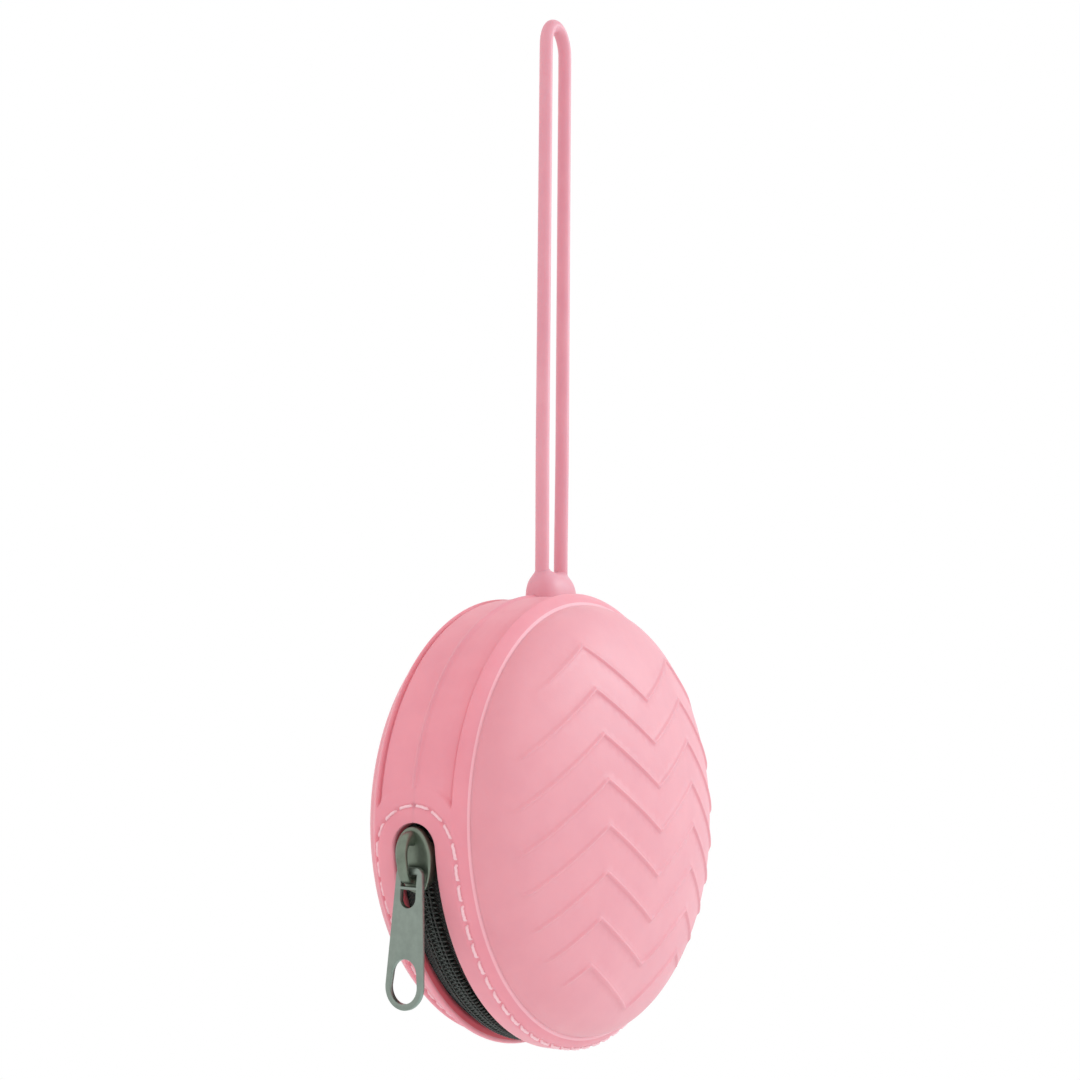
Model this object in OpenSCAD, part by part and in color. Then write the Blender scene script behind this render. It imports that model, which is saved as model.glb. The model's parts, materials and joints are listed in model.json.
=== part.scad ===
// Round silicone coin purse on a loop strap. A coil zip runs round the lower half of its rim.
// Frame: the origin is the inside top of the strap loop, where a hook or finger holds the purse.
// +Z is up, the front dome faces -Y, and the zip runs from -X round the bottom to +X.
// Inside each module the body's centre is at the origin; hang() then lowers it into place.

/* [Body] */
// Outside diameter of the round body, over its rim beads
body_d = 80; // [79:0.5:81]
// Diameter of the crease circle where each dome starts
crease_d = 75.4; // [75:0.2:76]
// Distance across the rim from the front crease to the rear one
crease_gap = 19.5; // [19.2:0.1:20]
// Height of the front dome above its crease
dome_h = 13.4; // [12.5:0.1:14.5]
// Height of the rear dome, which is flatter
rear_dome_h = 9; // [8.5:0.1:10]
// Roundness of the dome: 2 is an ellipse, less is more pointed
dome_power = 1.6; // [1.5:0.1:2]
// Thickness of the silicone
wall = 2; // [1.8:0.1:2.2]
// How far the mould line stands out of the rim
rib_h = 0.4; // [0.3:0.1:0.5]

/* [Opening] */
// Width of the slot that the zip lies in
slot_w = 8.2; // [8.1:0.1:8.6]
// How far below the body's centre the slot's round ends start
slot_top = 1.2; // [1:0.1:1.6]
// How far each half of the mouth swings open, in degrees
mouth_angle = 15; // [10:1:15]
// Distance from the middle of the rim to each row of stitches
stitch_y = 8; // [7.9:0.1:8.1]

/* [Zip] */
// Width of one zip tape
tape_w = 6.85; // [6.4:0.05:6.9]
// Thickness of the zip tape
tape_t = 0.5; // [0.4:0.05:0.5]
// Width of the two coils when they are closed
chain_w = 4.2; // [4:0.1:4.3]
// Height of the coils above the tape
coil_h = 1.35; // [1.2:0.05:1.4]
// Where the closed slider stands below the horizontal, in degrees
slider_angle = 10.2; // [10:0.1:11]
// Length of the slider
slider_l = 10.6; // [10.4:0.1:10.8]
// Width of the slider at its shoulders
slider_w = 7.3; // [7.2:0.05:7.4]

/* [Pull tab] */
// Length of the pull tab below its pivot
tab_l = 21.4; // [20.6:0.2:22]
// Width of the pull tab at its round end
tab_w = 7.3; // [7:0.1:7.6]
// Thickness of the pull tab
tab_t = 1; // [0.9:0.1:1.1]
// How far the pull tab leans to one side on its loose pivot, in degrees
tab_lean = 2; // [0:0.5:3]

/* [Strap] */
// Diameter of the strap
strap_d = 2.7; // [2.4:0.1:2.8]
// Length of the collar at the foot of the strap
collar_l = 12; // [11.5:0.1:12.5]
// Width of the collar
collar_w = 6.8; // [6.4:0.1:7]

/* [Hidden] */
$fn = 72;

silicone = "#e89aa6";
black = "#20262a";
gunmetal = "#7f8a80";
thread_pink = "#f4c6cd";

// The body's centre is this far below the inside top of the strap loop.
hang_drop = 154;
bead_r = body_d / 2;
crease_r = crease_d / 2;
crease_y = crease_gap / 2;
dome_steps = 12;
far = 2 * body_d;
gap = 0.3;

// The lips are as thick as the wall, and the zip tape lies just inside them.
lip_in_r = bead_r - wall - 0.1;
lip_in_y = 7.2;
tape_out_r = lip_in_r - 0.2;
tape_in_r = tape_out_r - tape_t;
coil_out_r = tape_out_r + 0.05 + coil_h;
half_gap = 0.15;
tape_top = 2.6;

// The slot and the raised lip round it both end in half circles.
slot_r = slot_w / 2;
slot_z = -slot_top - slot_r;
lip_zone_r = crease_y;
lip_zone_z = -5.35;
stitch_end_z = -6.5;

// Each flap turns about a line along X, beside the lip and just below the slider.
hinge_y = 5;
hinge_z = -12;
wedge_angle = mouth_angle + 1.5;
band_start_y = 8;
band_clear = 0.12;

thread_r = bead_r + 0.05;
thread_depth = 0.4;
thread_w = 0.4;
groove_w = 0.5;

// The coils stop at the slot's ends, and the slider's post has room above the closed channel.
coil_top = -slot_top - 1;
post_room_z = -4.8;

// The slider: its plates follow the rim's curve, outside and inside the tape.
top_plate_in = coil_out_r + 0.3;
top_plate_out = top_plate_in + 1.1;
low_plate_out = tape_in_r - 0.3;
low_plate_in = low_plate_out - 0.8;
flange_in = tape_out_r + 0.25;
channel_w = chain_w + 0.7;
slider_tail_w = 5.8;
shoulder_z = slider_l / 2 - slider_w / 2;
post_w = 1.5;
post_low = 2.6;
bridge_w = 1.9;

// The pull tab's pivot, as a radius and a height on the upright slider.
pivot_r = top_plate_out + 1.1;
pivot_z = -1.4;
pin_r = 0.65;
tab_top_w = 5.2;
tab_hole_w = 3;
bridge_hole_low = 2.4;
d_hole_top = 2.95;
d_hole_mid = 4.2;
eye_w = 5.3;
eye_l = 7;
eye_ring = 1;

collar_base_z = 39;
collar_h = 6.2;
anchor_neck_w = 4.8;
anchor_head_r = 4.4;
anchor_head_t = 1.5;
anchor_clear = 0.04;

// The strap's centre line, up one leg, over the top and down the other, in the purse's frame.
strap_route = [
    [-3.2, 0, -111], [-3.2, 0, -104], [-3.3, 0, -96], [-3.4, 0, -86], [-3.4, 0, -76], [-3.4, 0, -66],
    [-3.4, 0, -56], [-3.4, 0, -46], [-3.4, 0, -36], [-3.4, 0, -27], [-3.4, 0, -19], [-3.4, 0, -12],
    [-3.4, 0, -6.5], [-3.3, 0, -2.6], [-2.6, 0, -0.4], [-1.5, 0, 0.9], [0, 0, 1.4],
    [1.5, 0, 0.9], [2.6, 0, -0.4], [3.3, 0, -2.6], [3.4, 0, -6.5],
    [3.4, 0, -12], [3.4, 0, -19], [3.4, 0, -27], [3.4, 0, -36], [3.4, 0, -46],
    [3.4, 0, -56], [3.4, 0, -66], [3.4, 0, -76], [3.4, 0, -86], [3.3, 0, -96], [3.2, 0, -104],
    [3.2, 0, -111]
];
strap_sides = 8;

// Points on a dome, as [radius, distance from the middle plane], from its crease to its crown.
function dome_points(r, h) = [
    for (i = [0 : dome_steps])
        let (a = 90 * i / dome_steps)
            [r * pow(max(cos(a), 0), 2 / dome_power), crease_y + h * sin(a)]
];

// The rim's outline from the middle plane to the crease: the mould line, the lip and the bead.
function rim_outline() = [
    [0, 0], [bead_r - 0.1 + rib_h, 0], [bead_r - 0.2 + rib_h, 0.3], [bead_r - 0.1, 0.6],
    [bead_r, 7], [bead_r, 8.2], [bead_r - 0.2, 8.9], [bead_r - 1, 9.5]
];

// What the plain upper half of the rim lacks beside the lip: a shallow roof and a groove by the bead.
function channel_outline() = [
    [bead_r - 0.1, 0.6], [bead_r + 1, 0.6], [bead_r + 1, 7.8], [bead_r - 0.2, 7.6],
    [bead_r - 1.1, 7.2], [bead_r - 1.2, 6.6], [bead_r - 0.8, 5.6]
];

function cavity_outline(h) = concat(
    [[0, 0], [lip_in_r, 0], [lip_in_r, lip_in_y]], dome_points(crease_r - wall, h - wall)
);

// Unit vector, and the direction of the strap at one point of its route.
function unit(v) = v / norm(v);
function along(p, i) = unit(p[min(i + 1, len(p) - 1)] - p[max(i - 1, 0)]);

// Each ring of the tube: the strap lies in the XZ plane, so Y is square to it everywhere.
function ring(p, i, r) = [
    for (k = [0 : strap_sides - 1])
        let (a = 360 * k / strap_sides, side = cross(along(p, i), [0, 1, 0]))
            p[i] + r * (cos(a) * [0, 1, 0] + sin(a) * side)
];

module hang() {
    translate([0, 0, -hang_drop]) children();
}

// Turns an outline of [radius, distance] about the Y axis, towards the front.
module spin(outline) {
    rotate([90, 0, 0]) rotate_extrude() polygon(outline);
}

// Extrudes a flat shape drawn in Y and Z along X.
module along_x(length = far) {
    rotate([90, 0, 90]) linear_extrude(height = length, center = true) children();
}

// A band round the Y axis between two radii, over a range of distance from the middle plane.
module band(r_in, r_out, y_near, y_far) {
    spin([[r_in, y_near], [r_out, y_near], [r_out, y_far], [r_in, y_far]]);
}

// A long slot across the rim with round upper ends, open downwards.
module u_zone(r, z) {
    along_x() union() {
        translate([0, z]) circle(r = r);
        translate([-r, z - far]) square([2 * r, far]);
    }
}

module u_ring(r_in, r_out) {
    difference() {
        u_zone(r_out, stitch_end_z);
        u_zone(r_in, stitch_end_z);
    }
}

module stitch_groove() {
    difference() {
        u_ring(stitch_y - groove_w / 2, stitch_y + groove_w / 2);
        rotate([90, 0, 0]) cylinder(r = thread_r - thread_depth - 0.05, h = far, center = true);
    }
}

// A square neck keeps the strap from turning in the rim.
module neck(width, from_z, height) {
    translate([-width / 2, -width / 2, from_z]) cube([width, width, height]);
}

// A whole half of the silicone, drawn in front, from the middle plane to the crown of its dome.
module half_silicone(h) {
    difference() {
        spin(concat(rim_outline(), dome_points(crease_r, h)));
        spin(cavity_outline(h));
        u_zone(slot_r, slot_z);
        difference() {
            spin(channel_outline());
            u_zone(lip_zone_r, lip_zone_z);
        }
        stitch_groove();
        neck(anchor_neck_w + anchor_clear, lip_in_r - 2, 6);
    }
}

// Height of the flap's sloping top edge at a distance from the middle plane.
function wedge_z(y) = hinge_z - (y - hinge_y) * tan(wedge_angle);

module above_hinge() {
    translate([-far / 2, -far / 2, hinge_z + gap]) cube([far, far, far]);
}

module below_hinge() {
    along_x() polygon([
        [0, hinge_z], [-hinge_y, hinge_z], [-far, wedge_z(far)], [-far, -far], [0, -far]
    ]);
}

// The wedge of silicone that folds between the shell and the flap as the mouth opens.
module between_hinge() {
    y1 = crease_gap * 2;
    along_x() polygon([
        [-band_start_y, hinge_z + gap - band_clear], [-y1, hinge_z + gap - band_clear],
        [-y1, wedge_z(y1) + band_clear], [-band_start_y, wedge_z(band_start_y) + band_clear]
    ]);
}

module front_shell(h = dome_h) {
    color(silicone) hang() intersection() {
        half_silicone(h);
        above_hinge();
    }
}

module rear_shell() {
    mirror([0, 1, 0]) front_shell(rear_dome_h);
}

module front_flap(h = dome_h) {
    color(silicone) hang() intersection() {
        half_silicone(h);
        below_hinge();
    }
}

module rear_flap() {
    mirror([0, 1, 0]) front_flap(rear_dome_h);
}

module front_bend_band(h = dome_h) {
    color(silicone) hang() intersection() {
        half_silicone(h);
        between_hinge();
    }
}

module rear_bend_band() {
    mirror([0, 1, 0]) front_bend_band(rear_dome_h);
}

// Keeps what is below a height.
module below(z) {
    intersection() {
        children();
        translate([-far / 2, -far / 2, z - far]) cube([far, far, far]);
    }
}

// Room for the slider's post between the tapes, above the closed slider's channel.
module post_room(half_w) {
    translate([-far, -half_w, post_room_z]) cube([far, 2 * half_w, far]);
}

module front_zip_tape() {
    color(black) hang() difference() {
        below(tape_top) band(tape_in_r, tape_out_r, half_gap, half_gap + tape_w);
        post_room(post_w / 2 + 0.4);
    }
}

module rear_zip_tape() {
    mirror([0, 1, 0]) front_zip_tape();
}

// One cord runs through each coil, so the coil is bored along its length.
module coil_core(r) {
    core_y = half_gap + chain_w / 4;
    core_r = (tape_out_r + coil_out_r) / 2;
    rotate([90, 0, 0]) rotate_extrude() translate([core_r, core_y]) circle(r = r, $fn = 24);
}

module front_zip_coil() {
    color(black) hang() difference() {
        below(coil_top) band(tape_out_r + 0.05, coil_out_r, half_gap, chain_w / 2);
        post_room(far);
        coil_core(0.42);
    }
}

module rear_zip_coil() {
    mirror([0, 1, 0]) front_zip_coil();
}

module front_coil_cord() {
    color(black) hang() difference() {
        below(coil_top) coil_core(0.38);
        post_room(far);
    }
}

module rear_coil_cord() {
    mirror([0, 1, 0]) front_coil_cord();
}

// Places a piece drawn on an upright slider at the -X side of the rim.
module on_slider() {
    hang() rotate([0, -slider_angle, 0]) children();
}

// The slider seen from outside: round shoulders above, a narrower tail below.
module slider_outline() {
    translate([0, shoulder_z]) circle(r = slider_w / 2);
    polygon([
        [-slider_w / 2, shoulder_z], [-slider_tail_w / 2, -slider_l / 2],
        [slider_tail_w / 2, -slider_l / 2], [slider_w / 2, shoulder_z]
    ]);
}

module slider_layer(r_in, r_out) {
    intersection() {
        union() {
            band(r_in, r_out, 0, far / 4);
            mirror([0, 1, 0]) band(r_in, r_out, 0, far / 4);
        }
        translate([-far / 4, 0, 0]) along_x(far / 2) slider_outline();
    }
}

// The arch that holds the pull tab, drawn as [radius, height] on the upright slider.
module bridge() {
    base = top_plate_out - 0.2;
    top = top_plate_out + 3.1;
    translate([0, bridge_w / 2, 0]) rotate([90, 0, 0]) linear_extrude(height = bridge_w) difference() {
        polygon([
            [-base, 4.9], [-base - 1.6, 4.7], [-base - 2.5, 3.8], [-top + 0.2, 2.2], [-top, 0.6],
            [-top, -1.2], [-top + 0.3, -2.4], [-top + 1, -3.2], [-base, -3.5]
        ]);
        polygon([
            [-base + 1, 2.4], [-base - 1.3, 2.4], [-base - 1.9, 1.7], [-base - 2.2, 0.6],
            [-base - 2.2, -1.4], [-base - 1.9, -2.1], [-base - 1.2, -2.35], [-base + 1, -2.35]
        ]);
    }
}

module slider_body() {
    color(gunmetal) on_slider() {
        slider_layer(top_plate_in, top_plate_out);
        slider_layer(low_plate_in, low_plate_out);
        difference() {
            slider_layer(flange_in, top_plate_in + 0.1);
            along_x() translate([-channel_w / 2, -slider_l]) square([channel_w, 2 * slider_l]);
        }
        intersection() {
            slider_layer(low_plate_out - 0.1, top_plate_in + 0.1);
            translate([-far, -post_w / 2, post_low]) cube([far, post_w, far]);
        }
        bridge();
    }
}

// The pull tab hangs straight down from its pivot, which is drawn at the origin.
module tab_outline() {
    r = tab_w / 2;
    translate([0, -tab_l + r]) circle(r = r);
    polygon([
        [-tab_top_w / 2 + 1, pin_r], [-tab_top_w / 2, -0.6], [-r, -tab_l + r],
        [r, -tab_l + r], [tab_top_w / 2, -0.6], [tab_top_w / 2 - 1, pin_r]
    ]);
}

// From the top: the hole that the slider's bridge fills, a D-shaped hole and the long eye.
module tab_holes() {
    eye_r = eye_w / 2;
    eye_low = -tab_l + eye_ring + eye_r;
    eye_high = eye_low + eye_l - eye_w;
    half = tab_hole_w / 2;
    translate([0, eye_low]) circle(r = eye_r);
    translate([0, eye_high]) circle(r = eye_r);
    translate([-eye_r, eye_low]) square([eye_w, eye_high - eye_low]);
    translate([-half, -bridge_hole_low]) square([tab_hole_w, bridge_hole_low - pin_r + 0.1]);
    translate([-half, -d_hole_mid]) square([tab_hole_w, d_hole_mid - d_hole_top]);
    translate([0, -d_hole_mid]) circle(r = half);
}

module pull_tab() {
    pivot = [-pivot_r * cos(slider_angle) - pivot_z * sin(slider_angle), 0,
             -pivot_r * sin(slider_angle) + pivot_z * cos(slider_angle)];
    color(gunmetal) hang() translate(pivot) {
        rotate([90, 0, 0]) cylinder(r = pin_r, h = tab_top_w - 1.4, center = true);
        rotate([tab_lean, 0, 0]) along_x(tab_t) difference() {
            tab_outline();
            tab_holes();
        }
    }
}

// A thread in the groove along the lips, kept to the part of the rim a zone covers.
module thread() {
    intersection() {
        u_ring(stitch_y - thread_w / 2, stitch_y + thread_w / 2);
        union() {
            band(thread_r - thread_depth, thread_r, 0, crease_y);
            mirror([0, 1, 0]) band(thread_r - thread_depth, thread_r, 0, crease_y);
        }
        children();
    }
}

module front_seam_thread() {
    color(thread_pink) hang() thread() below_hinge();
}

module rear_seam_thread() {
    mirror([0, 1, 0]) front_seam_thread();
}

module left_end_thread() {
    color(thread_pink) hang() thread() translate([-far, -far / 2, hinge_z + gap]) cube([far, far, far]);
}

module right_end_thread() {
    mirror([1, 0, 0]) left_end_thread();
}

module strap_loop() {
    last = len(strap_route) - 1;
    points = [for (i = [0 : last]) each ring(strap_route, i, strap_d / 2)];
    sides = [
        for (i = [0 : last - 1], k = [0 : strap_sides - 1])
            let (a = i * strap_sides, b = a + strap_sides, n = (k + 1) % strap_sides)
                [a + k, a + n, b + n, b + k]
    ];
    start = [for (k = [0 : strap_sides - 1]) strap_sides - 1 - k];
    end = [for (k = [0 : strap_sides - 1]) last * strap_sides + k];
    color(silicone) polyhedron(points = points, faces = concat([start], sides, [end]));
}

// A flat shape with straight sides and round upper corners.
module round_top(width, height, r) {
    translate([-width / 2, 0]) square([width, height - r]);
    translate([-width / 2 + r, 0]) square([width - 2 * r, height]);
    for (side = [-1, 1]) translate([side * (width / 2 - r), height - r]) circle(r = r);
}

// A rounded foot where the two legs of the strap meet. Its base is moulded into the rim.
module strap_collar() {
    r = collar_w / 2;
    reach = collar_l / 2 - r;
    color(silicone) hang() translate([0, 0, collar_base_z]) intersection() {
        linear_extrude(height = 2 * collar_h) union() {
            for (side = [-1, 1]) translate([side * reach, 0]) circle(r = r);
            translate([-reach, -r]) square([2 * reach, collar_w]);
        }
        rotate([90, 0, 0]) linear_extrude(height = 2 * collar_w, center = true)
            round_top(collar_l + 0.02, collar_h, 3.2);
        along_x() round_top(collar_w + 0.02, collar_h + 0.01, 2.6);
    }
}

// The plug that passes through the rim, and its head inside the purse.
module strap_anchor() {
    head_top = lip_in_r - 0.3;
    color(silicone) hang() {
        translate([0, 0, head_top - anchor_head_t]) cylinder(r = anchor_head_r, h = anchor_head_t);
        neck(anchor_neck_w, head_top - 0.1, collar_base_z - head_top + 0.1);
    }
}

front_shell();
rear_shell();
front_flap();
rear_flap();
front_bend_band();
rear_bend_band();
front_zip_tape();
rear_zip_tape();
front_zip_coil();
rear_zip_coil();
front_coil_cord();
rear_coil_cord();
slider_body();
pull_tab();
front_seam_thread();
rear_seam_thread();
left_end_thread();
right_end_thread();
strap_loop();
strap_collar();
strap_anchor();
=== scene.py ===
# Looks of a round silicone coin purse on a loop strap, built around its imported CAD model.
# Sizes are in millimetres from the centre of the round body; frame_point() turns them into the
# shared frame's metres. Angles round the rim are measured from +X towards +Z.
import json
import math
import bmesh
import bpy
from mathutils import Matrix, Vector
from mathutils.geometry import delaunay_2d_cdt


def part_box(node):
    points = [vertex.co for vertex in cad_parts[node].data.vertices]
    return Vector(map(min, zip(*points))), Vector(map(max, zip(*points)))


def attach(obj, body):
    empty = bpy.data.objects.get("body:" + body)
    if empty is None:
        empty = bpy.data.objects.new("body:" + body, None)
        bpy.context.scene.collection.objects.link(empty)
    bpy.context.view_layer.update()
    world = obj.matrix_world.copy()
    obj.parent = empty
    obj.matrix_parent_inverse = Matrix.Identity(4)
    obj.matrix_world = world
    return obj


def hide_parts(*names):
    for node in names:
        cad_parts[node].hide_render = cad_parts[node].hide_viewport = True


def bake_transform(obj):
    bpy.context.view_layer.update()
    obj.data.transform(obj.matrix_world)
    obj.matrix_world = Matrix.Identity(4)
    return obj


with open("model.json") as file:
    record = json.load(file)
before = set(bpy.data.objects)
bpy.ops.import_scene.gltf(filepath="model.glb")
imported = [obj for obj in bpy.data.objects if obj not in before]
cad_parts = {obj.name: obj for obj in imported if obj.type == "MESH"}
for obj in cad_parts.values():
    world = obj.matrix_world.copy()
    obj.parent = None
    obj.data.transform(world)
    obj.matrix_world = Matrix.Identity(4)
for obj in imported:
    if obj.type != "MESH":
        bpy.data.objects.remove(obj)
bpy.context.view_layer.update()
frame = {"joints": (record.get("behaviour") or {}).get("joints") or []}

MM = 0.001
BEAD_R = 40.0
CENTRE_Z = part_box("front_flap")[0].z + BEAD_R * MM

# The rim, from the middle plane to the crease where the dome starts. The rear lip is tucked in,
# which the CAD model's is not.
RIB_H = 0.4
LIP_R = 39.95
LIP_IN_R = 37.9
LIP_IN_Y = 7.2
BEAD_Y = 7.7
REAR_TUCK = 1.3
LEDGE_R = 38.12
LEDGE_Y = 9.62
CREASE_R = 37.7
CREASE_Y = 9.75
WALL = 2.0

# The domes and the raised zigzag lines on them.
DOME_H = 13.4
REAR_DOME_H = 9.0
DOME_POWER = 0.8
CROWN_R = 3.0
DISC_R = 35.0
ZIGZAG_ROWS = 8
ZIGZAG_TOP = 28.9
ZIGZAG_STEP = 7.58
ZIGZAG_APEX_X = 14.7
ZIGZAG_IN_SLOPE = 0.583
ZIGZAG_OUT_SLOPE = 0.7
ZIGZAG_END_R = 33.2
ZIGZAG_H = 0.42
ZIGZAG_HALF_W = 0.52

# The slot, the raised lip round it and its stitches. The rear seam is sunk deeper than the front one.
SLOT_R = 4.1
SLOT_Z = -5.3
SLOT_EDGE = 0.45
PAD_R = 9.75
PAD_Z = -5.35
STITCH_Y = 8.0
STITCH_Z = -6.5
STITCH_END_Z = -4.0
END_STITCHES = 6
SEAM_STITCHES = 35
THREAD_R = 0.27
REAR_SINK = 0.45

# The zip.
TAPE_IN_R = 37.2
TAPE_OUT_R = 37.7
TAPE_FAR_Y = 7.0
TAPE_TOP_Z = 2.6
COIL_R = 38.43
COIL_Y = 0.75
COIL_HALF_W = 1.15
COIL_HALF_H = 0.47
COIL_PITCH = 0.86
COIL_WIRE_R = 0.17
COIL_TOP_Z = -5.0

# The slider and its pull tab, which hangs a little to one side of its pivot's middle.
SLIDER_ANGLE = math.radians(10.2)
SLIDER_L = 10.6
SLIDER_W = 7.3
SLIDER_TAIL_W = 5.8
POST_Z = 3.9
POST_HALF_W = 0.75
POST_HALF_L = 1.2
TOP_PLATE_IN = 39.4
TOP_PLATE_OUT = 40.5
LOW_PLATE_OUT = 36.9
LOW_PLATE_IN = 36.1
FLANGE_IN = 37.95
TAB_L = 21.4
TAB_W = 7.3
TAB_TOP_W = 5.2
TAB_T = 1.0
TAB_CHAMFER = 0.24
TAB_LEAN = math.radians(2.0)
TAB_SHIFT = 0.4
TAB_PIN_R = 0.65
TAB_HOLE_W = 3.0
BRIDGE_HOLE_LOW = 2.4
D_HOLE_TOP = 2.95
D_HOLE_MID = 4.2
EYE_W = 5.3
EYE_L = 7.0
EYE_RING = 1.0

# The strap and its collar.
STRAP_D = 2.7
STRAP_HALF_GAP = 3.2
COLLAR_L = 12.0
COLLAR_W = 6.8
COLLAR_Z = 39.0
COLLAR_H = 6.7

# The camera, in metres in the shared frame, and its turns in degrees.
CAMERA_PLACE = (-0.23246, -0.15256, -0.15264)
CAMERA_HEADING = -56.27
CAMERA_PITCH = 10.12
CAMERA_ROLL = 0.54

# The strap's centre line, in metres in the shared frame, as the CAD model routes it.
STRAP_UP = [
    (-0.0032, 0, -0.111), (-0.0032, 0, -0.104), (-0.0033, 0, -0.096), (-0.0034, 0, -0.086),
    (-0.0034, 0, -0.076), (-0.0034, 0, -0.066), (-0.0034, 0, -0.056), (-0.0034, 0, -0.046),
    (-0.0034, 0, -0.036), (-0.0034, 0, -0.027), (-0.0034, 0, -0.019), (-0.0034, 0, -0.012),
    (-0.0034, 0, -0.0065), (-0.0033, 0, -0.0026), (-0.0026, 0, -0.0004), (-0.0015, 0, 0.0009),
    (0, 0, 0.0014),
]
STRAP_ROUTE = STRAP_UP + [(-x, y, z) for x, y, z in reversed(STRAP_UP[:-1])]


# ---------------------------------------------------------------- small helpers

def frame_point(x, y, z):
    """A point in millimetres from the body's centre, in the shared frame in metres."""
    return Vector((x * MM, y * MM, z * MM + CENTRE_Z))


def rim_point(radius, angle, y):
    """A point round the body's own axis, at a distance y behind its middle plane."""
    return frame_point(radius * math.cos(angle), y, radius * math.sin(angle))


def smooth_step(value):
    """Eases from 0 to 1 as the value goes from 0 to 1, and stays level outside."""
    t = min(max(value, 0.0), 1.0)
    return t * t * (3 - 2 * t)


def mix(a, b, share):
    """a at share 0, b at share 1."""
    return a + (b - a) * share


def signed_power(value, exponent):
    """The power of a value's size, with the value's own sign."""
    return math.copysign(abs(value) ** exponent, value)


def along_points(points, x):
    """A smooth line through (x, value) points, level at none of them, read at x."""
    if x <= points[0][0]:
        return points[0][1]
    for (x0, v0), (x1, v1) in zip(points, points[1:]):
        if x <= x1:
            return mix(v0, v1, smooth_step((x - x0) / (x1 - x0)) * 0.5 + (x - x0) / (x1 - x0) * 0.5)
    return points[-1][1]


def add_object(name, data):
    """Puts a mesh, curve, camera or light into the scene."""
    added = bpy.data.objects.new(name, data)
    bpy.context.scene.collection.objects.link(added)
    return added


def new_piece(name, points, faces, materials, face_slots=None):
    """A closed mesh in the shared frame, with its faces turned outwards."""
    mesh = bpy.data.meshes.new(name)
    mesh.from_pydata([tuple(p) for p in points], [], faces)
    for material in materials:
        mesh.materials.append(material)
    if face_slots:
        mesh.polygons.foreach_set("material_index", face_slots)
    mesh.polygons.foreach_set("use_smooth", [True] * len(mesh.polygons))
    shape = bmesh.new()
    shape.from_mesh(mesh)
    bmesh.ops.recalc_face_normals(shape, faces=shape.faces)
    shape.to_mesh(mesh)
    shape.free()
    return add_object(name, mesh)


def ring_faces(ring_count, sides):
    """Quads between neighbouring rings of points, each ring closed on itself."""
    faces = []
    for i in range(ring_count - 1):
        a = i * sides
        b = a + sides
        faces += [(a + k, a + (k + 1) % sides, b + (k + 1) % sides, b + k) for k in range(sides)]
    return faces


def end_caps(ring_count, sides):
    """The two faces that close the first and the last of a row of rings."""
    last = (ring_count - 1) * sides
    return [tuple(reversed(range(sides))), tuple(last + k for k in range(sides))]


def tube(path, section, sides):
    """Sweeps section(ring, angle) -> (sideways, upwards) offsets along a path of points.

    Returns points and faces, closed at both ends.
    """
    points = []
    side = Vector((0, 1, 0))
    last = len(path) - 1
    for i, centre in enumerate(path):
        ahead = (path[min(i + 1, last)] - path[max(i - 1, 0)]).normalized()
        side = (side - ahead * side.dot(ahead)).normalized()
        up = ahead.cross(side)
        for k in range(sides):
            across, over = section(i, math.tau * k / sides)
            points.append(centre + side * across + up * over)
    return points, ring_faces(len(path), sides) + end_caps(len(path), sides)


def round_tube(path, radius, sides):
    """A tube of one radius along a path."""
    return tube(path, lambda i, a: (radius * math.cos(a), radius * math.sin(a)), sides)


def merge(parts):
    """Joins several (points, faces) pairs into one."""
    points, faces = [], []
    for part_points, part_faces in parts:
        start = len(points)
        points += part_points
        faces += [tuple(start + i for i in face) for face in part_faces]
    return points, faces


def smooth_path(points, steps):
    """A Catmull-Rom curve through the points, with steps pieces between neighbours."""
    ends = [2 * points[0] - points[1]] + points + [2 * points[-1] - points[-2]]
    path = []
    for a, b, c, d in zip(ends, ends[1:], ends[2:], ends[3:]):
        for k in range(steps):
            t = k / steps
            path.append(0.5 * (2 * b + (c - a) * t + (2 * a - 5 * b + 4 * c - d) * t * t
                               + (3 * b - a - 3 * c + d) * t ** 3))
    return path + [points[-1]]


# ---------------------------------------------------------------- materials

def colour(red, green, blue):
    """An sRGB colour from 0 to 255, as the linear colour that shaders take."""
    parts = [c / 255 for c in (red, green, blue)]
    return tuple(c / 12.92 if c <= 0.04045 else ((c + 0.055) / 1.055) ** 2.4 for c in parts) + (1,)


def new_material(name, base, roughness, **settings):
    """A Principled material. Settings are socket names with _ for a space."""
    material = bpy.data.materials.new(name)
    material.use_nodes = True
    shader = material.node_tree.nodes["Principled BSDF"]
    shader.inputs["Base Color"].default_value = base
    shader.inputs["Roughness"].default_value = roughness
    for socket, value in settings.items():
        shader.inputs[socket.replace("_", " ")].default_value = value
    material.diffuse_color = base
    return material


def add_node(material, kind, inputs=None, **settings):
    """A shader node. Its inputs are numbers, or outputs of other nodes to link to it."""
    node = material.node_tree.nodes.new(kind)
    for key, value in settings.items():
        setattr(node, key, value)
    for key, value in (inputs or {}).items():
        if isinstance(value, bpy.types.NodeSocket):
            material.node_tree.links.new(value, node.inputs[key])
        else:
            node.inputs[key].default_value = value
    return node


def link(material, output, socket):
    """Links an output to a socket of the material's Principled shader."""
    material.node_tree.links.new(output, material.node_tree.nodes["Principled BSDF"].inputs[socket])


def noise(material, grain, detail=3.0, roughness=0.55):
    """Noise whose grains are about the given size in millimetres."""
    place = add_node(material, "ShaderNodeTexCoord").outputs["Object"]
    return add_node(material, "ShaderNodeTexNoise", {
        "Vector": place, "Scale": 1 / (grain * MM), "Detail": detail, "Roughness": roughness,
    }).outputs["Fac"]


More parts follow.
